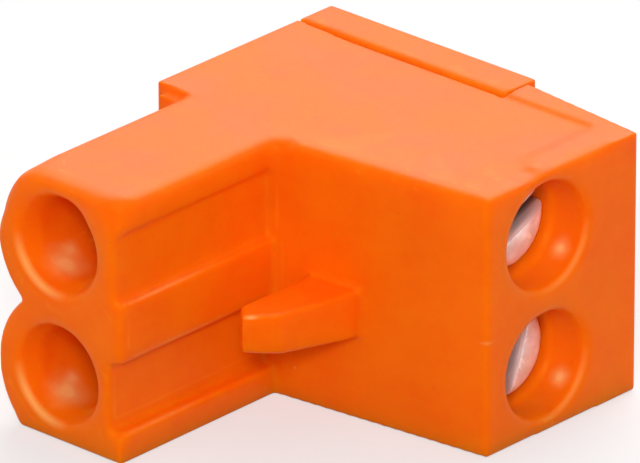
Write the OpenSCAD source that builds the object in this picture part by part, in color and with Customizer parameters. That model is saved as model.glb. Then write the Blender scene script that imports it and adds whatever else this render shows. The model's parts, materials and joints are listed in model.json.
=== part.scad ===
// Two-pole pluggable screw terminal block: a moulded housing with a snap-in rear cover,
// and in each pole a captive screw, a rising clamp cage and a fork-shaped socket contact.
// Frame: +X from the sole to the screw face, +Y from the mating end to the wire end,
// +Z up the row of poles. The origin is the middle of the footprint, on the lower end face.

/* [Poles] */
// Distance between the centres of neighbouring poles
pitch = 5.08; // [5:0.01:5.6]
// Wall between a clamp chamber and the edge of its pole
pole_wall = 0.54; // [0.45:0.01:0.6]

/* [Body] */
// Distance from the sole to the screw face
body_h = 15.8; // [15.2:0.1:17]
// Setback of the screw face's front edge from the root of the nose
front_rake = 1.1; // [0.4:0.1:1.8]
// Drop of the screw face towards its front edge
face_drop = 0.15; // [0:0.05:0.3]
// Material between the root of the nose and the clamp chambers
front_wall = 2; // [1.7:0.1:2.2]
// Step from the back of the cover to the back of the housing above it
back_step = 0.5; // [0.2:0.05:0.7]
// Further slope of the housing's back up to the screw face
back_taper = 0.6; // [0:0.1:1.2]
// Height of the raised border on the upper end face
rim_h = 0.12; // [0.05:0.01:0.2]
// Width of that border along the back
rim_back_w = 1.7; // [1.2:0.1:2]
// Width of that border along the screw face
rim_top_w = 1.55; // [0.8:0.05:2]
// Length of that border along the screw face
rim_top_l = 5.3; // [3:0.1:6.5]
// Width of the ramp that rises to the border's height along the sole
rim_ramp_w = 2.6; // [1:0.1:4]

/* [Nose] */
// Length of the nose on its flat side
nose_l = 8.1; // [7.5:0.1:8.6]
// Thickness of the nose from its flat side to the crest of its lobes
nose_h = 6; // [5.8:0.1:6.4]
// Step from the crest of the lobes down to the sole
nose_step = 0.4; // [0.2:0.05:0.6]
// Radius of the lobe under each socket
lobe_r = 3.3; // [3:0.02:3.8]
// Distance from the root of the nose back to the shoulder under it
shoulder_setback = 0.75; // [0.3:0.05:1.2]
// Width of the groove over each socket
groove_w = 2.7; // [2:0.1:3.2]
// Distance of each groove and lobe below its pole's centre
key_drop = 0.12; // [0:0.02:0.2]
// Depth of the groove over the lower socket
groove_depth_lower = 0.6; // [0.2:0.05:0.7]
// Depth of the groove over the upper socket
groove_depth_upper = 0.35; // [0.2:0.05:0.7]
// Length of the stop ledge in front of the shoulder, along the nose
stop_l = 0.35; // [0.2:0.05:0.6]
// Distance of the ends of the stop ledge from the end faces
stop_inset = 0.2; // [0.1:0.05:0.8]

/* [Latch tongue] */
// Length of the tongue in front of the root of the nose
tongue_l = 4.15; // [3:0.05:5]
// Width of the tongue, across the nose
tongue_w = 2.25; // [1.8:0.05:2.8]
// Gap between the nose and the tongue
tongue_gap = 1.56; // [1.2:0.02:2]
// Thickness of the tongue at its tip
tongue_tip_t = 1.46; // [1:0.02:1.8]
// Thickness of the tongue at its root
tongue_root_t = 1.86; // [1.6:0.02:2.4]
// Height of the tongue's upper side above the middle of the part
tongue_lift = 0.08; // [0:0.02:0.4]
// Length of the slanted flat at the tip of the tongue
tongue_point_l = 1.04; // [0.5:0.02:1.5]
// Width of the bevel at the tip, on the side of the nose
tongue_bevel = 0.68; // [0.3:0.02:0.8]
// Taper of the tongue's other side, from its root to its tip
tongue_taper = 0.62; // [0.3:0.02:0.8]

/* [Sockets] */
// Depth of the socket axis below the flat side of the nose
socket_drop = 3.1; // [2.9:0.05:3.2]
// Radius of a socket hole
socket_r = 1.6; // [1.4:0.05:1.7]
// Radius of a socket hole at its mouth
socket_mouth_r = 1.95; // [1.8:0.05:2.15]
// Depth of the funnel at the mouth of a socket hole
socket_funnel_l = 0.9; // [0.5:0.05:1.4]
// Depth of a socket hole in front of its contact
socket_hole_l = 3.4; // [2.8:0.1:3.6]
// Opening between the contact's leaves at the pinch
pinch_gap = 0.9; // [0.6:0.05:1]
// Opening between the contact's leaves at their mouth
leaf_mouth = 1.7; // [1.4:0.05:1.8]
// Opening between the contact's leaves at their root
leaf_root = 1.5; // [1.2:0.05:1.7]
// Thickness of a contact leaf
leaf_t = 0.35; // [0.25:0.05:0.4]
// Distance from the mouth of the leaves to the pinch
pinch_l = 1.3; // [0.8:0.1:1.8]

/* [Clamp] */
// Radius over the screw's thread
thread_r = 1.21; // [1:0.01:1.25]
// Radius of the screw head
head_r = 1.8; // [1.65:0.01:1.85]
// Height of the screw head
head_h = 1.8; // [1.4:0.05:2]
// Depth of the screw head below the screw face
head_sink = 1.7; // [1.3:0.05:1.9]
// Width of the screwdriver slot
slot_w = 0.85; // [0.6:0.05:1]
// Depth of the screwdriver slot
slot_depth = 0.9; // [0.6:0.05:1.1]
// Turn of the slot of the lower screw at rest
slot_turn_lower = 72; // [0:1:180]
// Turn of the slot of the upper screw at rest
slot_turn_upper = 22; // [0:1:180]
// Width of the clamping space of an open cage, between the bar and the cage's floor
clamp_open = 3.3; // [3:0.1:3.5]
// Width of the same space when the cage is fully raised
clamp_shut = 0.5; // [0.3:0.1:0.9]
// Length of a cage along the plug
cage_l = 4.4; // [4:0.1:4.5]
// Thickness of a cage's side strips
cage_t = 0.55; // [0.45:0.01:0.58]
// Thickness of a cage's floor
cage_floor_t = 0.7; // [0.5:0.05:0.8]
// Height of a cage's threaded lug
lug_h = 1.4; // [1.2:0.1:1.6]
// Radius of the bends between a cage's sides and floor
cage_bend_r = 0.65; // [0.4:0.05:0.8]
// Thickness of the bar that the wire is clamped to
bar_t = 0.8; // [0.6:0.05:0.9]
// Length of the bar behind the cage
bar_tail = 0.6; // [0.3:0.05:0.7]

/* [Screw holes] */
// Radius of a screw hole above the screw head
driver_r = 2.02; // [1.92:0.01:2.06]
// Radius of a screw hole at the screw face
driver_mouth_r = 2.12; // [2.1:0.01:2.25]
// Depth of the funnel at the screw face
driver_funnel_l = 0.4; // [0.3:0.05:1]

/* [Rear cover] */
// Thickness of the rear cover
cover_t = 1.8; // [1.6:0.05:2]
// Length of the cover's collars, which stand in the clamp chambers
collar_l = 1; // [0.4:0.1:2]
// Cover above the opening of the clamp chambers
cover_land = 0.55; // [0.4:0.05:0.8]
// Radius of a wire entry at its narrowest
wire_r = 1.25; // [1.1:0.05:1.3]
// Radius of a wire entry at the back
wire_mouth_r = 2.1; // [1.8:0.05:2.2]
// Depth of the funnel of a wire entry
wire_funnel_l = 1.3; // [0.9:0.05:1.4]

/* [Clearances] */
// Clearance between the head or thread and its bore
running_gap = 0.04; // [0.02:0.01:0.08]
// Clearance of a cage in its chamber
cage_gap = 0.1; // [0.05:0.01:0.15]
// Clearance of a cage above and below, at the ends of its travel
travel_gap = 0.15; // [0.1:0.01:0.25]
// Clearance of the bar inside a cage
bar_gap = 0.15; // [0.1:0.01:0.2]
// Clearance between the tip of the screw and the bar
tip_gap = 0.1; // [0.05:0.01:0.15]
// Clearance of a contact in its pocket
contact_gap = 0.1; // [0.05:0.01:0.15]
// Clearance between the rear cover and the housing
seam_gap = 0.03; // [0.01:0.01:0.06]

/* [Hidden] */

$fn = 96;
eps = 0.01;
past = 1;  // how far a cutter runs past the face that it opens

// Poles, by number from the lower end face
LOWER = 0;
UPPER = 1;
poles = 2;
function pole_z(pole) = pitch * (pole + 0.5);
function slot_turn(pole) = pole == LOWER ? slot_turn_lower : slot_turn_upper;
function groove_depth(pole) = pole == LOWER ? groove_depth_lower : groove_depth_upper;
part_w = poles * pitch;
face_z = part_w - rim_h;

// Across the plug, along X
x_top = body_h / 2;
x_sole = -body_h / 2;
x_crest = x_sole + nose_step;
x_nose = x_crest + nose_h;
x_lobe = x_crest + lobe_r;
x_socket = x_nose - socket_drop;

// Along the screw axis, from the head down to the cage's floor
travel = clamp_open - clamp_shut;
x_head_top = x_top - head_sink;
x_head_under = x_head_top - head_h;
lug_head_gap = 0.2;
x_lug_top = x_head_under - lug_head_gap - travel;
x_lug_under = x_lug_top - lug_h;
lug_bar_gap = 0.2;
x_bar_top = x_lug_under - lug_bar_gap;
x_bar_under = x_bar_top - bar_t;
x_cage_floor = x_bar_under - clamp_open;
x_cage_bottom = x_cage_floor - cage_floor_t;
x_chamber_floor = x_cage_bottom - travel_gap;
x_chamber_open = x_lug_top + travel_gap;
x_chamber_roof = x_lug_top + travel + travel_gap;
x_wire = (x_bar_under + x_cage_floor) / 2;
x_cover_top = x_chamber_open + cover_land;

// Along the plug, along Y
riser_cage_gap = 0.25;
collar_bar_gap = 0.2;
plug_l = nose_l + front_wall + cage_gap + cage_l + bar_tail
    + collar_bar_gap + collar_l + cover_t;
y_mate = -plug_l / 2;
y_back = plug_l / 2;
y_root = y_mate + nose_l;
y_shoulder = y_root + shoulder_setback;
y_front_top = y_root + front_rake;
y_chamber = y_root + front_wall;
y_cage = y_chamber + cage_gap;
y_cage_back = y_cage + cage_l;
y_screw = y_cage + cage_l / 2;
y_bar_end = y_cage_back + bar_tail;
y_collar = y_bar_end + collar_bar_gap;
y_cover = y_back - cover_t;
y_leaf_mouth = y_mate + socket_hole_l + contact_gap;
y_riser_back = y_cage - riser_cage_gap;
y_riser = y_riser_back - bar_t;

// Widths across one pole, along Z
chamber_w = pitch - 2 * pole_wall;
cage_w = chamber_w - 2 * cage_gap;
cage_inner_w = cage_w - 2 * cage_t;
bar_w = cage_inner_w - 2 * bar_gap;
pocket_w = bar_w + 2 * contact_gap;
pocket_h = leaf_mouth + 2 * leaf_t + 2 * contact_gap;
lug_edge_r = 0.25;
tip_chamfer = 0.3;
head_edge = 0.15;

// A box given by its low and high corners
module span(low, high) {
    translate(low) cube(high - low);
}

// The children's flat outline, drawn as X and Z, drawn out along Y from low to high
module along_y(low, high) {
    translate([0, high, 0]) rotate([90, 0, 0]) linear_extrude(high - low) children();
}

// A body turned about the X axis, from a profile of [radius, x] points
module turned_x(profile) {
    rotate([0, 90, 0]) rotate_extrude() polygon(profile);
}

// A body turned about the Y axis, from a profile of [radius, y] points
module turned_y(profile) {
    rotate([-90, 0, 0]) rotate_extrude() polygon(profile);
}

// Outline of the body, seen along Z
module body_outline() {
    polygon([
        [x_sole, y_shoulder], [x_nose, y_shoulder], [x_nose, y_root],
        [x_top - face_drop, y_front_top], [x_top, y_back - back_step - back_taper],
        [x_cover_top + seam_gap, y_back - back_step],
        [x_cover_top + seam_gap, y_cover], [x_sole, y_cover]
    ]);
}

// Cross-section of the nose: flat on one side, with a lobe for each pole on the other
module nose_section() {
    translate([x_lobe, 0]) square([x_nose - x_lobe, face_z]);
    intersection() {
        translate([x_crest, 0]) square([nose_h, face_z]);
        for (pole = [0 : poles - 1])
            translate([x_lobe, pole_z(pole) - key_drop]) circle(lobe_r);
    }
}

// Raised border on the upper end face, along the back and the screw face, with a ramp
// that rises to the same height along the sole
module end_rim() {
    translate([0, 0, face_z - eps]) linear_extrude(rim_h + eps) intersection() {
        body_outline();
        union() {
            translate([x_cover_top, y_back - rim_back_w]) square([body_h, plug_l]);
            translate([x_top - rim_top_w, y_back - rim_back_w - rim_top_l + past])
                square([body_h, rim_top_l]);
        }
    }
    along_y(y_shoulder, y_cover) polygon([
        [x_sole, face_z - eps], [x_sole, part_w],
        [x_sole + rim_ramp_w, face_z], [x_sole + rim_ramp_w, face_z - eps]
    ]);
}

// Tongue between the poles that locks the plug in its header
module latch_tongue() {
    x_low = x_nose + tongue_gap;
    x_high = x_low + tongue_w;
    y_tip = y_root - tongue_l;
    z_top = part_w / 2 + tongue_lift;
    intersection() {
        linear_extrude(part_w) polygon([
            [x_low, y_chamber], [x_low, y_tip + tongue_bevel], [x_low + tongue_bevel, y_tip],
            [x_high - tongue_taper, y_tip + tongue_point_l], [x_high, y_root],
            [x_high, y_chamber]
        ]);
        translate([x_low - past, 0, 0]) rotate([90, 0, 90]) linear_extrude(tongue_w + 2 * past)
            polygon([
                [y_tip - past, z_top], [y_tip - past, z_top - tongue_tip_t],
                [y_tip, z_top - tongue_tip_t], [y_root, z_top - tongue_root_t],
                [y_chamber, z_top - tongue_root_t], [y_chamber, z_top]
            ]);
    }
}

// Hole that the header's pin enters by, funnelled at its mouth
module socket_hole() {
    translate([x_socket, y_mate, 0]) turned_y([
        [0, -past], [socket_mouth_r, -past], [socket_mouth_r, 0],
        [socket_r, socket_funnel_l], [socket_r, socket_hole_l], [0, socket_hole_l]
    ]);
}

// Pocket of a socket contact, with the slot that its riser stands in
module contact_pocket() {
    span([x_socket - pocket_h / 2, y_mate + socket_hole_l - eps, -pocket_w / 2],
         [x_socket + pocket_h / 2, y_chamber + eps, pocket_w / 2]);
    span([x_socket, y_riser - contact_gap, -pocket_w / 2],
         [x_bar_top + contact_gap, y_chamber + eps, pocket_w / 2]);
}

// Chamber that a cage rises in, open to the back below the cover's top
module clamp_chamber() {
    span([x_chamber_floor, y_chamber, -chamber_w / 2],
         [x_chamber_open, y_cover + past, chamber_w / 2]);
    span([x_chamber_open - eps, y_chamber, -chamber_w / 2],
         [x_chamber_roof, y_cage_back + cage_gap, chamber_w / 2]);
}

// Hole for the screw head and the screwdriver
module screw_hole() {
    translate([0, y_screw, 0]) turned_x([
        [0, x_chamber_roof - eps], [head_r + running_gap, x_chamber_roof - eps],
        [head_r + running_gap, x_head_top + tip_gap], [driver_r, x_head_top + tip_gap],
        [driver_r, x_top - driver_funnel_l], [driver_mouth_r, x_top],
        [driver_mouth_r, x_top + past], [0, x_top + past]
    ]);
}

module housing() {
    color("orangered") difference() {
        union() {
            linear_extrude(face_z) body_outline();
            along_y(y_mate, y_chamber) nose_section();
            end_rim();
            latch_tongue();
            span([x_crest, y_shoulder - stop_l, stop_inset],
                 [x_lobe, y_chamber, face_z - stop_inset]);
        }
        for (pole = [0 : poles - 1]) translate([0, 0, pole_z(pole)]) {
            socket_hole();
            contact_pocket();
            clamp_chamber();
            screw_hole();
            span([x_nose - groove_depth(pole), y_mate - past, -key_drop - groove_w / 2],
                 [x_nose + past, y_root, -key_drop + groove_w / 2]);
        }
    }
}

// Plate that closes the back, with a collar in each chamber and a funnel for each wire
module rear_cover() {
    collar_w = chamber_w - 2 * seam_gap;
    color("orangered") difference() {
        union() {
            span([x_sole, y_cover + seam_gap, 0], [x_cover_top, y_back, part_w]);
            for (pole = [0 : poles - 1]) translate([0, 0, pole_z(pole)])
                span([x_chamber_floor + seam_gap, y_collar, -collar_w / 2],
                     [x_chamber_open - seam_gap, y_cover + 2 * seam_gap, collar_w / 2]);
        }
        for (pole = [0 : poles - 1]) translate([x_wire, 0, pole_z(pole)]) turned_y([
            [0, y_collar - past], [wire_r, y_collar - past], [wire_r, y_back - wire_funnel_l],
            [wire_mouth_r, y_back], [wire_mouth_r, y_back + past], [0, y_back + past]
        ]);
    }
}

module clamp_screw(pole) {
    color("silver") translate([0, y_screw, pole_z(pole)]) difference() {
        turned_x([
            [0, x_bar_top + tip_gap], [thread_r - tip_chamfer, x_bar_top + tip_gap],
            [thread_r, x_bar_top + tip_gap + tip_chamfer], [thread_r, x_head_under],
            [head_r, x_head_under], [head_r, x_head_top - head_edge],
            [head_r - head_edge, x_head_top], [0, x_head_top]
        ]);
        rotate([slot_turn(pole), 0, 0])
            span([x_head_top - slot_depth, -head_r - past, -slot_w / 2],
                 [x_head_top + past, head_r + past, slot_w / 2]);
    }
}

// Outline of a cage seen along Y: bent corners at the floor, a thick lug at the top
module cage_section() {
    side = cage_w / 2;
    translate([x_cage_bottom + cage_bend_r, -side])
        square([x_lug_top - lug_edge_r - x_cage_bottom - cage_bend_r, cage_w]);
    translate([x_cage_bottom, cage_bend_r - side])
        square([x_lug_top - x_cage_bottom, cage_w - 2 * cage_bend_r]);
    translate([x_lug_top - 2 * lug_edge_r, lug_edge_r - side])
        square([2 * lug_edge_r, cage_w - 2 * lug_edge_r]);
    for (turn = [-1, 1]) {
        translate([x_cage_bottom + cage_bend_r, turn * (side - cage_bend_r)])
            circle(cage_bend_r);
        translate([x_lug_top - lug_edge_r, turn * (side - lug_edge_r)]) circle(lug_edge_r);
    }
}

module clamp_cage(pole) {
    color("gainsboro") translate([0, 0, pole_z(pole)]) difference() {
        along_y(y_cage, y_cage_back) cage_section();
        span([x_cage_floor, y_cage - past, -cage_inner_w / 2],
             [x_lug_under, y_cage_back + past, cage_inner_w / 2]);
        translate([x_lug_under - past, y_screw, 0]) rotate([0, 90, 0])
            cylinder(r = thread_r + running_gap, h = lug_h + 2 * past);
    }
}

// Side of a contact leaf, from its root to its mouth, on one side of the pin's axis
function leaf_side(side, thickness) = [
    [x_socket + side * (leaf_root / 2 + thickness), y_riser],
    [x_socket + side * (pinch_gap / 2 + thickness), y_leaf_mouth + pinch_l],
    [x_socket + side * (leaf_mouth / 2 + thickness), y_leaf_mouth]
];
function backwards(points) = [for (i = [len(points) - 1 : -1 : 0]) points[i]];

// Two leaves for the header's pin, on a riser up to the bar that the wire is clamped to
module socket_contact(pole) {
    color("lightgray") translate([0, 0, pole_z(pole) - bar_w / 2]) linear_extrude(bar_w)
        polygon(concat(
            [[x_bar_top, y_bar_end], [x_bar_top, y_riser]],
            leaf_side(1, leaf_t), backwards(leaf_side(1, 0)),
            leaf_side(-1, 0), backwards(leaf_side(-1, leaf_t)),
            [[x_socket - leaf_root / 2 - leaf_t, y_riser_back],
             [x_bar_under, y_riser_back], [x_bar_under, y_bar_end]]
        ));
}

housing();
rear_cover();
clamp_screw(LOWER);  // clamp_screw_lower
clamp_screw(UPPER);  // clamp_screw_upper
clamp_cage(LOWER);  // clamp_cage_lower
clamp_cage(UPPER);  // clamp_cage_upper
socket_contact(LOWER);  // socket_contact_lower
socket_contact(UPPER);  // socket_contact_upper
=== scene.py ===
"""Looks of the two-pole pluggable terminal block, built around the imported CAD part.

Every moulded and stamped piece is the CAD node's own shape, remeshed finely and worn soft at
its edges as moulding and stamping leave it; the screws are turned here with a real thread.
Lengths are millimetres, unless a name ends in _m or _M or the value goes to a Blender setting
in metres. Pieces are scaled back to metres when they are made.
"""

import json
import math

import bmesh
import bpy
import numpy as np
from mathutils import Matrix, Vector


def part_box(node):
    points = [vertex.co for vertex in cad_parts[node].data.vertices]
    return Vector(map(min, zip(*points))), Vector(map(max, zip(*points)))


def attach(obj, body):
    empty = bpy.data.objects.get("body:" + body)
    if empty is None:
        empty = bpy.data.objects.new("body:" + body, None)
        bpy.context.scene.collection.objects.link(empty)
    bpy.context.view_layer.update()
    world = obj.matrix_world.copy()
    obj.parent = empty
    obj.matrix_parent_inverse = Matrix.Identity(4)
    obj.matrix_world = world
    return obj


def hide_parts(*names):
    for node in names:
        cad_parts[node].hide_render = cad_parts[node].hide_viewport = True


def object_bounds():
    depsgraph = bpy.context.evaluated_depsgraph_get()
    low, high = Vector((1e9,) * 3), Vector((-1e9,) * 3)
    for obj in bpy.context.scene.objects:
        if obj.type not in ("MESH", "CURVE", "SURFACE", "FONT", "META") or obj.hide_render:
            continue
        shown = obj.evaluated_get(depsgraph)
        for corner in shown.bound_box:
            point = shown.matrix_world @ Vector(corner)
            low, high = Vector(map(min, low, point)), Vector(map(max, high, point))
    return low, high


MM = 1000.0
WEAR_VOXEL = 0.08  # smoothing steps are counted on a mesh of this edge length

# lengths of the CAD part that its frame doesn't state
NOSE_STEP = 0.4  # from the sole up to the nose's lobes
SOCKET_DROP = 3.1  # from the nose's near side to the socket's axis
NOSE_L = 8.1
FRONT_RAKE = 1.1  # how far the front wall leans back at its top
FACE_DROP = 0.15  # how far the screw face falls towards the front
COVER_T = 1.8
BORDER_H = 0.12  # height of the border round the upper end
BORDER_W = 1.55  # its width at the screw face
BORDER_L = 5.2  # how far it runs there from the cover's seam
GROOVE_TOP, GROOVE_LIP = 1.23, -1.47  # a groove's edges, from its socket's axis
SOCKET_MOUTH_R = 1.95
DRIVER_HOLE_R = 2.02
LOBE_TOP_Z = 9.1  # height at which the upper lobe's round ends
SLOT_TURNS = {"lower": 72.0, "upper": 22.0}

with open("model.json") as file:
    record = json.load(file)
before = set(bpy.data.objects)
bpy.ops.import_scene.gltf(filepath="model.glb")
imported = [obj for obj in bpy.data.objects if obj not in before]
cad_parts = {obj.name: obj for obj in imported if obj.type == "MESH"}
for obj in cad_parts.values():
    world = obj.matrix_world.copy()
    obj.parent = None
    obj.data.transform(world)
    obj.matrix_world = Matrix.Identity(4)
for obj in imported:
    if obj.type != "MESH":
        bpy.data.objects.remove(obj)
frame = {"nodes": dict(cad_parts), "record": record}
cad_box = [list(c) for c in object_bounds()]
record = frame["record"]
mounts = {m["name"]: m for m in record["mounts"]}
POLES = ("lower", "upper")


def corners(node):
    """Lowest and highest corner of a CAD node, in millimetres."""
    low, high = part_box(node)
    return np.array(low) * MM, np.array(high) * MM


def mount_at(name):
    return np.array(mounts[name]["pos_m"]) * MM


house_low, house_high = corners("housing")
X_SOLE, Y_MATE = house_low[0], house_low[1]
X_TOP, Z_TOP = house_high[0], house_high[2]
X_CREST = X_SOLE + NOSE_STEP
X_NOSE = mount_at("pin_socket_lower")[0] + SOCKET_DROP
Y_ROOT = Y_MATE + NOSE_L
Y_FRONT_TOP = Y_ROOT + FRONT_RAKE
X_FRONT_TOP = X_TOP - FACE_DROP
X_COVER = corners("rear_cover")[1][0]
Y_SEAM = corners("rear_cover")[1][1] - COVER_T
SOCKET_Z = [mount_at(f"pin_socket_{pole}")[2] for pole in POLES]
GROOVE_TOPS = [z + GROOVE_TOP for z in SOCKET_Z]
GROOVE_LIPS = [z + GROOVE_LIP for z in SOCKET_Z]


# ---------------------------------------------------------------- meshes

def mesh_arrays(mesh):
    """Vertices in millimetres and edges of a mesh."""
    co = np.empty(len(mesh.vertices) * 3)
    mesh.vertices.foreach_get("co", co)
    ed = np.empty(len(mesh.edges) * 2, np.int64)
    mesh.edges.foreach_get("vertices", ed)
    return co.reshape(-1, 3), ed.reshape(-1, 2)


def set_vertices(mesh, co):
    mesh.vertices.foreach_set("co", np.ascontiguousarray(co, np.float64).ravel())
    mesh.update()


def apply_modifiers(obj):
    """Replaces the object's mesh by what its modifiers make of it."""
    graph = bpy.context.evaluated_depsgraph_get()
    made = bpy.data.meshes.new_from_object(obj.evaluated_get(graph))
    obj.modifiers.clear()
    old, obj.data = obj.data, made
    bpy.data.meshes.remove(old)


def relax(co, ed, counts):
    """Smooths each vertex towards its neighbours, counts[i] times.

    Flats stay flat and edges go round.
    """
    n = len(co)
    a, b = ed[:, 0], ed[:, 1]
    degree = np.maximum(np.bincount(a, minlength=n) + np.bincount(b, minlength=n), 1)
    for step in range(int(math.ceil(counts.max()))):
        if step % 8 == 7:  # edges that no longer move anything are dropped
            live = (counts[a] > step) | (counts[b] > step)
            a, b = a[live], b[live]
        share = 0.5 * np.clip(counts - step, 0, 1)
        for k in range(3):
            c = co[:, k]
            total = np.bincount(a, weights=c[b], minlength=n)
            total += np.bincount(b, weights=c[a], minlength=n)
            co[:, k] = c + share * (total / degree - c)
    return co


def to_segment(co, start, end):
    """Distance of each point from the segment between two points."""
    start, end = np.array(start, float), np.array(end, float)
    way = end - start
    t = np.clip(((co - start) @ way) / (way @ way), 0, 1)
    return np.linalg.norm(co - start - t[:, None] * way, axis=1)


def linked(name, mesh):
    obj = bpy.data.objects.new(name, mesh)
    bpy.context.scene.collection.objects.link(obj)
    return obj


def softened(node, name, voxel, counts, most_triangles):
    """A copy of a CAD node, remeshed at voxel mm and worn soft.

    counts(co) gives the smoothing steps of each point.
    """
    mesh = frame["nodes"][node].data.copy()
    mesh.transform(Matrix.Scale(MM, 4))
    mesh.materials.clear()
    weld = bmesh.new()
    weld.from_mesh(mesh)
    bmesh.ops.remove_doubles(weld, verts=weld.verts, dist=1e-4)
    weld.to_mesh(mesh)
    weld.free()
    obj = linked(name, mesh)
    remesh = obj.modifiers.new("remesh", "REMESH")
    remesh.mode = "VOXEL"
    remesh.voxel_size = voxel
    remesh.adaptivity = 0
    apply_modifiers(obj)
    co, ed = mesh_arrays(obj.data)
    finer = (WEAR_VOXEL / voxel) ** 2
    set_vertices(obj.data, relax(co, ed, counts(co) * finer))
    triangles = sum(len(p.vertices) - 2 for p in obj.data.polygons)
    if triangles > most_triangles:
        thin = obj.modifiers.new("thin", "DECIMATE")
        thin.ratio = most_triangles / triangles
        apply_modifiers(obj)
    obj.data.transform(Matrix.Scale(1 / MM, 4))
    obj.data.shade_smooth()
    return obj


def worn_along(co, steps, lines):
    """Raises the smoothing steps near each line: start, end, most steps, reach."""
    for start, end, most, reach in lines:
        near = np.clip(1 - to_segment(co, start, end) / reach, 0, 1)
        near = np.minimum(2 * near * near * (3 - 2 * near), 1)
        steps = np.maximum(steps, steps + (most - steps) * near)
    return steps


def mouth_steps(away, along, radius, most):
    """Smoothing steps near a round mouth, from the distances to its axis and to its plane."""
    ring = np.hypot(away - radius, along)
    return most * np.clip(1.7 - ring / 0.4, 0, 1)


def wear_housing(co):
    """Smoothing steps on the housing, high along the edges that the photographed plug has soft."""
    top = Z_TOP - BORDER_H
    steps = worn_along(co, np.full(len(co), 12.0), [
        ((X_CREST + 1.5, Y_MATE, top), (X_NOSE, Y_MATE, top), 150, 1.4),
        ((X_CREST + 0.1, Y_MATE, LOBE_TOP_Z), (X_CREST + 1.5, Y_MATE, top), 110, 2.0),
        ((X_NOSE, Y_MATE, top), (X_NOSE, Y_ROOT, top), 110, 1.3),
        ((X_NOSE, Y_ROOT, top), (X_FRONT_TOP, Y_FRONT_TOP, top), 50, 1.0),
        ((X_FRONT_TOP, Y_FRONT_TOP, top), (X_TOP, Y_SEAM - 0.8, Z_TOP), 45, 0.8),
        ((X_FRONT_TOP, Y_FRONT_TOP, 0.8), (X_FRONT_TOP, Y_FRONT_TOP, top), 24, 0.8),
        ((X_NOSE, Y_MATE, 1.0), (X_NOSE, Y_MATE, top), 40, 0.8),
        ((X_NOSE, Y_MATE, top - 0.3), (X_NOSE, Y_MATE, top), 260, 1.3),
    ] + [((X_NOSE, Y_MATE, z), (X_NOSE, Y_ROOT, z), 44, 0.6) for z in GROOVE_TOPS])
    inside = np.clip((co[:, 2] - 0.2) / 0.25, 0, 1)
    for pole in POLES:
        x, _, z = mount_at(f"pin_socket_{pole}")
        away = np.hypot(co[:, 0] - x, co[:, 2] - z)
        mouth = mouth_steps(away, co[:, 1] - Y_MATE, SOCKET_MOUTH_R, 28 * inside)
        steps = np.maximum(steps, mouth)
        _, y, z = mount_at(f"driver_hole_{pole}")
        away = np.hypot(co[:, 1] - y, co[:, 2] - z)
        mouth = mouth_steps(away, co[:, 0] - X_TOP, DRIVER_HOLE_R, 26 * inside)
        steps = np.maximum(steps, mouth)
    # the far edges that draw the outline, the lower end's edges and the cover's seam stay sharp
    back = np.clip((co[:, 1] - Y_SEAM + 0.9) / 0.5, 0, 1)
    sole = np.clip((X_SOLE + 0.9 - co[:, 0]) / 0.5, 0, 1) * (co[:, 1] > Y_ROOT)
    base = np.clip((0.4 - co[:, 2]) / 0.3, 0, 1)
    steps = steps + (4 - steps) * np.maximum(np.maximum(back, sole), base)
    # the border round the upper end rises in a soft ramp and fades out towards the front
    x_in, y_in, y_out = X_TOP - BORDER_W, Y_SEAM + 0.1, Y_SEAM - BORDER_L
    return worn_along(co, steps, [
        ((X_COVER + 0.1, y_in, Z_TOP), (x_in, y_in, Z_TOP), 14, 0.5),
        ((x_in, y_in - 0.6, Z_TOP), (x_in, y_out + 1, Z_TOP), 36, 0.6),
        ((x_in, y_out + 1, Z_TOP), (x_in, y_out, Z_TOP), 160, 0.8),
        ((x_in, y_out, Z_TOP), (X_TOP - 0.8, y_out, Z_TOP), 160, 0.6),
    ])


def wear_cover(co):
    """Smoothing steps on the rear cover: its front edge on the upper end is a soft ramp."""
    y = Y_SEAM + 0.1
    return worn_along(co, np.full(len(co), 4.0), [
        ((X_SOLE + 0.5, y, Z_TOP), (X_COVER - 0.1, y, Z_TOP), 26, 0.5),
    ])


def even(steps):
    return lambda co: np.full(len(co), float(steps))


def new_piece(name, verts, faces):
    """A mesh object in metres from points in millimetres."""
    mesh = bpy.data.meshes.new(name)
    mesh.from_pydata([tuple(np.array(v) / MM) for v in verts], [], faces)
    mesh.update()
    tidy = bmesh.new()
    tidy.from_mesh(mesh)
    bmesh.ops.remove_doubles(tidy, verts=tidy.verts, dist=1e-8)
    bmesh.ops.recalc_face_normals(tidy, faces=tidy.faces)
    tidy.to_mesh(mesh)
    tidy.free()
    mesh.shade_smooth()
    return linked(name, mesh)


HEAD_H = 1.8
CREST_R, ROOT_R = 1.21, 1.21 - 0.2
THREAD_PITCH = 0.45
RINGS_PER_TURN = 12
AROUND = 96
SLOT_HALF_W, SLOT_DEPTH = 0.425, 0.9
SHOULDER_R, SHOULDER_H = 0.55, 0.47  # the head's rounded shoulder, along and down
FLAT_R = 0.6  # the head's top is flat inside this radius


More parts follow.
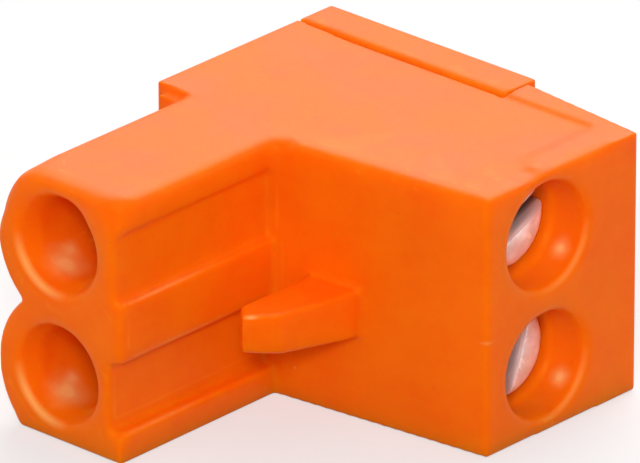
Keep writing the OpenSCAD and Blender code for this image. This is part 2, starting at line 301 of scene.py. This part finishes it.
def screw_rings(tip_x, top_x, head_r):
    """Rings of a screw from its tip up: x, radius and the thread's depth there."""
    under_x = top_x - HEAD_H
    rings = [(tip_x, 0.0, 0), (tip_x, 0.45, 0), (tip_x + 0.02, 0.62, 0),
             (tip_x + 0.1, 0.74, 0), (tip_x + 0.32, 0.96, 0.2)]
    start, end = tip_x + 0.4, under_x - 0.25
    count = int((end - start) / (THREAD_PITCH / RINGS_PER_TURN))
    for i in range(count + 1):
        rings.append((start + (end - start) * i / count, ROOT_R, 1.0))
    rings += [(under_x - 0.2, ROOT_R, 0.3), (under_x - 0.12, ROOT_R + 0.02, 0),
              (under_x - 0.04, ROOT_R + 0.07, 0), (under_x, ROOT_R + 0.16, 0),
              (under_x, head_r - 0.2, 0), (under_x + 0.02, head_r - 0.08, 0),
              (under_x + 0.07, head_r - 0.02, 0), (under_x + 0.16, head_r, 0),
              (top_x - 0.60, head_r, 0)]
    for i in range(13):
        a = math.pi / 2 * i / 12
        rings.append((top_x - 0.50 + SHOULDER_H * math.sin(a),
                      head_r - SHOULDER_R * (1 - math.cos(a)), 0))
    for r in (1.1, 0.95, 0.8, 0.6, 0.4, 0.2):
        rings.append((top_x - 0.03 * max(0, (r - FLAT_R) / 0.65) ** 2, r, 0))
    rings.append((top_x, 0.0, 0))
    return rings


def slot_cutter(name, centre, top_x, reach, turn):
    """A bar with rounded lower edges that cuts the slot, turned about X by turn."""
    w = SLOT_HALF_W
    profile = [(top_x + 1, w), (top_x - 0.02, w + 0.03), (top_x - 0.12, w),
               (top_x - SLOT_DEPTH + 0.12, w), (top_x - SLOT_DEPTH + 0.03, w - 0.05),
               (top_x - SLOT_DEPTH, w - 0.14)]
    outline = profile + [(x, -side) for x, side in reversed(profile)]
    along = np.array([0, math.cos(turn), math.sin(turn)])
    across = np.array([0, -math.sin(turn), math.cos(turn)])
    verts = [np.array([x, centre[1], centre[2]]) + across * side + along * end * reach
             for end in (-1, 1) for x, side in outline]
    m = len(outline)
    faces = [tuple(range(m)), tuple(range(2 * m - 1, m - 1, -1))]
    faces += [(i, i + m, (i + 1) % m + m, (i + 1) % m) for i in range(m)]
    return new_piece(name, verts, faces)


def turned_screw(name, node, slot_turn):
    """Slotted clamp screw with its thread, turned about X. The head faces +X."""
    low, high = corners(node)
    centre = (low + high) / 2
    head_r, tip_x, top_x = (high[2] - low[2]) / 2, low[0], high[0]
    under_x = top_x - HEAD_H
    rings = screw_rings(tip_x, top_x, head_r)
    turn = math.radians(slot_turn)
    first = turn - math.radians(0.75)  # the slot's edges then pass between the rings' points
    verts, faces = [], []
    for x, r, depth in rings:
        run_in = np.clip((x - tip_x - 0.3) / 0.5, 0, 1)
        run_out = np.clip((under_x - 0.18 - x) / 0.3, 0, 1)
        for k in range(AROUND):
            a = first + 2 * math.pi * k / AROUND
            radius = r
            if depth:  # right-hand thread with flats at crest and root
                phase = ((x / THREAD_PITCH) - k / AROUND) % 1.0
                ridge = np.clip(1.35 - abs(phase - 0.5) * 4.2, 0, 1)
                radius = r + (CREST_R - ROOT_R) * ridge * depth * (run_in * run_out)
            verts.append((x, centre[1] + radius * math.cos(a), centre[2] + radius * math.sin(a)))
    for i in range(len(rings) - 1):
        for k in range(AROUND):
            a, b = i * AROUND + k, i * AROUND + (k + 1) % AROUND
            faces.append((a, a + AROUND, b + AROUND, b))
    obj = new_piece(name, verts, faces)
    cutter = slot_cutter(name + "_cutter", centre, top_x, head_r + 0.5, turn)
    for piece in (obj, cutter):
        piece.data.transform(Matrix.Scale(MM, 4))
    boolean = obj.modifiers.new("slot", "BOOLEAN")
    boolean.operation, boolean.object, boolean.solver = "DIFFERENCE", cutter, "EXACT"
    apply_modifiers(obj)
    bpy.data.objects.remove(cutter)
    soft = obj.modifiers.new("soft", "BEVEL")
    soft.width, soft.segments = 0.03, 2
    soft.limit_method, soft.angle_limit = "ANGLE", math.radians(42)
    apply_modifiers(obj)
    obj.data.transform(Matrix.Scale(1 / MM, 4))
    obj.data.shade_smooth()
    return obj


# ---------------------------------------------------------------- materials

class Nodes:
    """Short helpers to wire one node tree."""

    def __init__(self, tree, output):
        self.tree = tree
        self.tree.nodes.clear()
        self.out = self.add(output)

    def add(self, kind, **settings):
        node = self.tree.nodes.new(kind)
        for key, value in settings.items():
            setattr(node, key, value)
        return node

    def link(self, source, target):
        self.tree.links.new(source, target)

    def put(self, socket, value):
        if isinstance(value, bpy.types.NodeSocket):
            self.link(value, socket)
        else:
            socket.default_value = value

    def place(self, shift):
        """Object coordinates in millimetres, as they are and moved by shift."""
        coord = self.add("ShaderNodeTexCoord")
        scale = self.add("ShaderNodeVectorMath", operation="SCALE")
        self.link(coord.outputs["Object"], scale.inputs[0])
        scale.inputs["Scale"].default_value = MM
        here = scale.outputs[0]
        return here, self.vector("ADD", here, shift)

    def noise(self, where, scale, detail=3.0, rough=0.5, stretch=None):
        if stretch:
            where = self.vector("MULTIPLY", where, stretch)
        n = self.add("ShaderNodeTexNoise")
        self.link(where, n.inputs["Vector"])
        n.inputs["Scale"].default_value = scale
        n.inputs["Detail"].default_value = detail
        n.inputs["Roughness"].default_value = rough
        return n.outputs["Fac"]

    def math(self, operation, a, b=0.0, clamp=False):
        n = self.add("ShaderNodeMath", operation=operation, use_clamp=clamp)
        self.put(n.inputs[0], a)
        self.put(n.inputs[1], b)
        return n.outputs[0]

    def vector(self, operation, a, b, output="Vector"):
        n = self.add("ShaderNodeVectorMath", operation=operation)
        self.put(n.inputs[0], a)
        self.put(n.inputs[1], b)
        return n.outputs[output]

    def spread(self, value, low, high, to_low, to_high):
        n = self.add("ShaderNodeMapRange")
        self.put(n.inputs["Value"], value)
        ends = {"From Min": low, "From Max": high, "To Min": to_low, "To Max": to_high}
        for key, end in ends.items():
            n.inputs[key].default_value = end
        return n.outputs["Result"]

    def blend(self, share, a, b):
        n = self.add("ShaderNodeMix", data_type="RGBA")
        self.put(n.inputs[0], share)
        self.put(n.inputs[6], a)
        self.put(n.inputs[7], b)
        return n.outputs[2]

    def bump(self, height, strength, distance_m, normal=None):
        n = self.add("ShaderNodeBump")
        self.put(n.inputs["Height"], height)
        n.inputs["Strength"].default_value = strength
        n.inputs["Distance"].default_value = distance_m
        if normal is not None:
            self.link(normal, n.inputs["Normal"])
        return n.outputs["Normal"]

    def shader(self, **inputs):
        n = self.add("ShaderNodeBsdfPrincipled")
        for key, value in inputs.items():
            self.put(n.inputs[key.replace("_", " ")], value)
        self.link(n.outputs[0], self.out.inputs["Surface"])


def new_material(name):
    """A material, and the helpers that wire it."""
    material = bpy.data.materials.new(name)
    material.use_nodes = True
    return material, Nodes(material.node_tree, "ShaderNodeOutputMaterial")


def rgba(r, g, b):
    return (r, g, b, 1.0)


def tone(colour, by, plus=0.0):
    """A shade of a colour: each channel times its share, at most 1, with a little added to blue."""
    r, g, b = (c * share for c, share in zip(colour, by))
    return rgba(min(1, r), min(1, g), min(1, b + plus))


def painted_arc_highlight(n, here, centre, axis, radius, toward, reach, most):
    """Strength of a painted highlight on a round edge: near the circle, and strongest in the
    direction toward.
    """
    off = n.vector("SUBTRACT", here, centre)
    flat = n.vector("MULTIPLY", off, [0.0 if k == axis else 1.0 for k in range(3)])
    along = n.vector("DOT_PRODUCT", off, [1.0 if k == axis else 0.0 for k in range(3)], "Value")
    across = n.math("SUBTRACT", n.vector("LENGTH", flat, (0, 0, 0), "Value"), radius)
    squares = n.math("ADD", n.math("MULTIPLY", along, along), n.math("MULTIPLY", across, across))
    away = n.math("SQRT", squares)
    side = n.vector("DOT_PRODUCT", n.vector("NORMALIZE", flat, (0, 0, 0)), toward, "Value")
    return n.math("MULTIPLY", n.spread(away, reach, 0.0, 0, most), n.spread(side, 0.62, 0.96, 0, 1))


# colours of painted highlights and small knocks, and of painted highlights on round mouths
PAINTED_HIGHLIGHT_AND_KNOCK = rgba(1.0, 0.42, 0.14)
PAINTED_RIM_HIGHLIGHT = rgba(1.0, 0.42, 0.12)


def moulded(name, seed, colour, rough, painted_highlights_and_knocks=(), painted_rim_highlights=()):
    """Satin moulded polyamide: faint flow marks, fine grain, and edges paler by wear and painted
    highlight.

    Each pale spot is a centre, a reach on each axis and a strength; most are painted highlights, a
    few small knocks. The rim entries are painted highlights on round edges, as the arc function
    takes them.
    """
    material, n = new_material(name)
    here, at = n.place((seed, seed * 0.7, seed * 1.3))
    cloud = n.noise(at, 0.35, 4.0, 0.55)
    flow = n.noise(at, 0.9, 3.0, 0.5, (0.35, 1.0, 2.2))
    grain = n.noise(at, 11.0, 3.0, 0.6)
    base = n.blend(n.spread(cloud, 0.35, 0.65, 0, 1),
                   tone(colour, (0.965, 0.90, 1.0)), tone(colour, (1.02, 1.09, 1.3)))
    base = n.blend(n.spread(flow, 0.45, 0.7, 0, 0.35), base, tone(colour, (0.99, 1.12, 1.5)))
    # edges paler: partly wear, partly a painted highlight where rounded edges catch the light
    point = n.add("ShaderNodeNewGeometry").outputs["Pointiness"]
    patchy = n.spread(n.noise(at, 0.9, 3.0, 0.5), 0.35, 0.65, 0.2, 0.5)
    edges_lighter = n.math("MULTIPLY", n.spread(point, 0.54, 0.64, 0, 1), patchy)
    base = n.blend(edges_lighter, base, tone(colour, (1.04, 1.5, 3.0), 0.004))
    speck = n.noise(at, 5.5, 2.0, 0.5)
    base = n.blend(n.spread(speck, 0.70, 0.76, 0, 0.5), base, tone(colour, (0.88, 0.75, 1.0)))
    ragged = n.spread(n.noise(at, 2.2, 2.0, 0.5), 0.3, 0.7, -0.07, 0.07)
    # pale spots: painted highlights where light falls into the holes and on edges, and a few small
    # knocks
    for centre, reach, most in painted_highlights_and_knocks:
        off = n.vector("DIVIDE", n.vector("SUBTRACT", here, centre), reach)
        away = n.vector("LENGTH", off, (0, 0, 0), "Value")
        soft = n.spread(n.math("ADD", away, ragged), 1.0, 0.15, 0, 1)
        share = n.math("MULTIPLY", n.math("MULTIPLY", soft, soft), most)
        base = n.blend(share, base, PAINTED_HIGHLIGHT_AND_KNOCK)
    # painted highlights on the rims of the round mouths
    for ring in painted_rim_highlights:
        base = n.blend(painted_arc_highlight(n, here, *ring), base, PAINTED_RIM_HIGHLIGHT)
    roughness = n.math("ADD", n.spread(grain, 0.3, 0.7, rough - 0.05, rough + 0.06),
                       n.spread(cloud, 0.35, 0.65, -0.03, 0.03))
    # hairline rubs, in two directions
    rub_a = n.noise(at, 3.0, 3.0, 0.65, (0.25, 6.0, 6.0))
    rub_b = n.noise(at, 3.0, 3.0, 0.65, (5.0, 0.3, 5.0))
    rubs = n.math("ADD", n.spread(rub_a, 0.62, 0.68, 0, 1), n.spread(rub_b, 0.63, 0.69, 0, 1),
                  clamp=True)
    roughness = n.math("ADD", roughness, n.math("MULTIPLY", rubs, 0.06), clamp=True)
    normal = n.bump(cloud, 0.25, 0.00003)
    normal = n.bump(grain, 0.20, 0.000006, normal)
    normal = n.bump(rubs, 0.12, 0.000003, normal)
    n.shader(Base_Color=base, Roughness=roughness, Normal=normal, IOR=1.53,
             Specular_IOR_Level=0.22, Specular_Tint=rgba(1.0, 0.45, 0.06),
             Subsurface_Weight=0.7, Subsurface_Radius=(1.0, 0.16, 0.03), Subsurface_Scale=0.0018)
    return material


def plated(name, seed, colour, rough, grain_size, relief_m, metallic, painted_shade_below_x=None):
    """Plated metal: crystalline mottling, fine draw lines, dull spots and bright rubbed edges.

    Where a height is given, a painted shade darkens what lies below it along X, as in a slot.
    """
    material, n = new_material(name)
    here, at = n.place((seed, seed * 1.7, seed * 0.6))
    patches = n.noise(at, 1.6, 5.0, 0.6)
    grain = n.noise(at, grain_size, 4.0, 0.65)
    lines = n.noise(at, 2.0, 3.0, 0.6, (9.0, 0.6, 9.0))
    base = n.blend(n.spread(patches, 0.35, 0.65, 0, 1),
                   tone(colour, (0.82, 0.81, 0.80)), rgba(*colour))
    base = n.blend(n.spread(grain, 0.62, 0.74, 0, 0.30), base, tone(colour, (0.55, 0.53, 0.52)))
    point = n.add("ShaderNodeNewGeometry").outputs["Pointiness"]
    edges_lighter = n.spread(point, 0.52, 0.60, 0, 0.8)
    base = n.blend(edges_lighter, base, tone(colour, (1.15, 1.15, 1.15)))
    # painted shade: the slot's depth is darkened where shadow falls in it
    if painted_shade_below_x is not None:
        apart = n.add("ShaderNodeSeparateXYZ")
        n.link(here, apart.inputs[0])
        share = n.spread(apart.outputs[0], painted_shade_below_x - 0.25, painted_shade_below_x, 0.8, 0)
        base = n.blend(share, base, rgba(0.09, 0.04, 0.025))
    roughness = n.math("ADD", n.spread(patches, 0.3, 0.7, rough - 0.06, rough + 0.08),
                       n.spread(grain, 0.3, 0.7, -0.05, 0.07), clamp=True)
    normal = n.bump(grain, 0.5, relief_m)
    normal = n.bump(lines, 0.25, relief_m * 0.5, normal)
    n.shader(Base_Color=base, Metallic=metallic, Roughness=roughness, Normal=normal)
    return material


ORANGE = (0.95, 0.146, 0.0012)


def housing_highlights_and_knocks():
    """Painted highlights in the sockets and screwdriver holes, on the grooves' lips and the
    tongue's top corner, and two small knocks.
    """
    # the first two are small knocks; the third is a painted highlight on the tongue's top corner
    marks = [((X_TOP - 0.1, Y_ROOT + 1.05, 4.46), (0.6, 0.6, 0.12), 0.6),
             ((-0.59, Y_ROOT + 0.05, 1.27), (0.12, 0.3, 0.12), 0.6),
             ((X_NOSE + 2.46, Y_ROOT - 3.91, 5.10), (0.36, 0.40, 0.11), 0.9)]
    # painted highlights along the grooves' lower lips, where the edge catches the light
    marks += [((X_NOSE, Y_MATE + 2.2, z), (0.3, 3.6, 0.13), 0.5) for z in GROOVE_LIPS]
    for pole in POLES:
        x, _, z = mount_at(f"pin_socket_{pole}")
        # painted highlights on the lit lower walls of the sockets and screwdriver holes
        marks.append(((x - 0.80, Y_MATE + 1.40, z - 1.39), (1.2, 1.15, 1.1), 1.0))
        marks.append(((x - 1.13, Y_MATE + 2.00, z - 1.13), (0.6, 0.6, 0.6), 0.7))
        _, y, z = mount_at(f"driver_hole_{pole}")
        marks.append(((X_TOP - 0.90, y + 1.58, z - 1.23), (0.6, 0.62, 0.62), 1.0))
    return marks


def painted_mouth_highlights():
    """Painted highlights in arcs on the mouths of the sockets and screwdriver holes, as the arc
    function takes them.
    """
    rings = []
    for pole in POLES:
        x, _, z = mount_at(f"pin_socket_{pole}")
        rings.append(((x, Y_MATE + 0.08, z), 1, SOCKET_MOUTH_R, (-0.62, 0.0, -0.78), 0.24, 0.8))
        _, y, z = mount_at(f"driver_hole_{pole}")
        rings.append(((X_TOP - 0.08, y, z), 0, 2.05, (0.0, 0.66, -0.75), 0.22, 0.6))
    return rings


housing_plastic = moulded("housing_plastic", 3.0, ORANGE, 0.40, housing_highlights_and_knocks(), painted_mouth_highlights())
cover_plastic = moulded("cover_plastic", 17.0, (ORANGE[0] * 0.99, ORANGE[1] * 1.03, ORANGE[2]),
                        0.41)
# the screws get a painted shade in their slots, below 0.45 mm under the head's top
screw_steel = plated("screw_steel", 5.0, (0.95, 0.94, 0.93), 0.42, 9.0, 0.000012, 0.65,
                     painted_shade_below_x=corners("clamp_screw_lower")[1][0] - 0.45)
cage_steel = plated("cage_steel", 11.0, (0.70, 0.71, 0.73), 0.30, 7.0, 0.000012, 1.0)
tinned_contact = plated("tinned_contact", 23.0, (0.76, 0.74, 0.70), 0.33, 6.0, 0.000010, 1.0)


def dress(obj, body, node, material):
    obj.data.materials.clear()
    obj.data.materials.append(material)
    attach(obj, body)
    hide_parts(node)


# ---------------------------------------------------------------- pieces

dress(softened("housing", "moulded_housing", 0.06, wear_housing, 185000),
      "block", "housing", housing_plastic)
dress(softened("rear_cover", "moulded_rear_cover", 0.06, wear_cover, 60000),
      "block", "rear_cover", cover_plastic)
for pole in POLES:
    dress(turned_screw(f"turned_screw_{pole}", f"clamp_screw_{pole}", SLOT_TURNS[pole]),
          f"screw_{pole}", f"clamp_screw_{pole}", screw_steel)
    dress(softened(f"clamp_cage_{pole}", f"formed_cage_{pole}", 0.05, even(2.4), 30000),
          f"cage_{pole}", f"clamp_cage_{pole}", cage_steel)
    dress(softened(f"socket_contact_{pole}", f"stamped_contact_{pole}", 0.045, even(1.6), 30000),
          "block", f"socket_contact_{pole}", tinned_contact)


# ---------------------------------------------------------------- floor, light, camera

FLOOR_GAP_M = 0.00002
FLOOR_HALF_M = 0.6
FLOOR_GREY, FLOOR_LIFT = 0.42, 0.48
WORLD_LIGHTING, WORLD_SEEN = 0.60, 1.0


def seen_rays(n):
    """1 where a camera, glossy or transmission ray looks."""
    path = n.add("ShaderNodeLightPath")
    seen = n.math("MAXIMUM", path.outputs["Is Camera Ray"], path.outputs["Is Glossy Ray"])
    return n.math("MAXIMUM", seen, path.outputs["Is Transmission Ray"])


floor_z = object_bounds()[0].z - FLOOR_GAP_M
floor_mesh = bpy.data.meshes.new("floor")
floor_mesh.from_pydata([(x * FLOOR_HALF_M, y * FLOOR_HALF_M, floor_z)
                        for x, y in ((-1, -1), (1, -1), (1, 1), (-1, 1))], [], [(0, 1, 2, 3)])
floor = linked("floor", floor_mesh)
pale_floor, n = new_material("pale_floor")
matt = n.add("ShaderNodeBsdfDiffuse")
matt.inputs["Color"].default_value = rgba(FLOOR_GREY, FLOOR_GREY, FLOOR_GREY)
lift = n.add("ShaderNodeEmission")
n.put(lift.inputs["Strength"], n.math("MULTIPLY", seen_rays(n), FLOOR_LIFT))
both = n.add("ShaderNodeAddShader")
n.link(matt.outputs[0], both.inputs[0])
n.link(lift.outputs[0], both.inputs[1])
n.link(both.outputs[0], n.out.inputs["Surface"])
floor_mesh.materials.append(pale_floor)

world = bpy.data.worlds.new("studio")
bpy.context.scene.world = world
world.use_nodes = True
n = Nodes(world.node_tree, "ShaderNodeOutputWorld")
background = n.add("ShaderNodeBackground")
background.inputs["Color"].default_value = rgba(1.0, 1.0, 1.0)
n.put(background.inputs["Strength"], n.spread(seen_rays(n), 0, 1, WORLD_LIGHTING, WORLD_SEEN))
n.link(background.outputs[0], n.out.inputs["Surface"])


def area_light(name, toward, distance_m, size_m, power):
    """A soft white lamp in the direction toward from the middle of the part, shining at it."""
    lamp = bpy.data.lights.new(name, "AREA")
    lamp.shape, lamp.size = "SQUARE", size_m
    lamp.energy = power
    obj = linked(name, lamp)
    middle = (Vector(cad_box[0]) + Vector(cad_box[1])) / 2
    way = Vector(toward).normalized()
    obj.location = middle + way * distance_m
    obj.rotation_mode = "QUATERNION"
    obj.rotation_quaternion = (-way).to_track_quat("-Z", "Y")


area_light("overhead", (-0.30, 0.62, 0.72), 0.45, 0.36, 1.35)
area_light("key", (0.55, -0.66, 0.51), 0.45, 0.07, 1.05)

VIEW_WIDTH_M = 0.0231
AIM_M = Vector((-0.00231, 0.00234, 0.00503))
camera = bpy.data.cameras.new("camera")
camera.lens, camera.sensor_width = 700.0, 36.0
eye = linked("camera", camera)
bpy.context.scene.camera = eye
azimuth, elevation = math.radians(42.3), math.radians(24.6)
back = Vector((math.sin(azimuth) * math.cos(elevation),
               -math.cos(azimuth) * math.cos(elevation), math.sin(elevation)))
eye.location = AIM_M + back * (VIEW_WIDTH_M * camera.lens / camera.sensor_width)
eye.rotation_mode = "QUATERNION"
eye.rotation_quaternion = (-back).to_track_quat("-Z", "Y")
camera.clip_start, camera.clip_end = 0.01, 10.0

bpy.context.scene.view_settings.view_transform = "Standard"
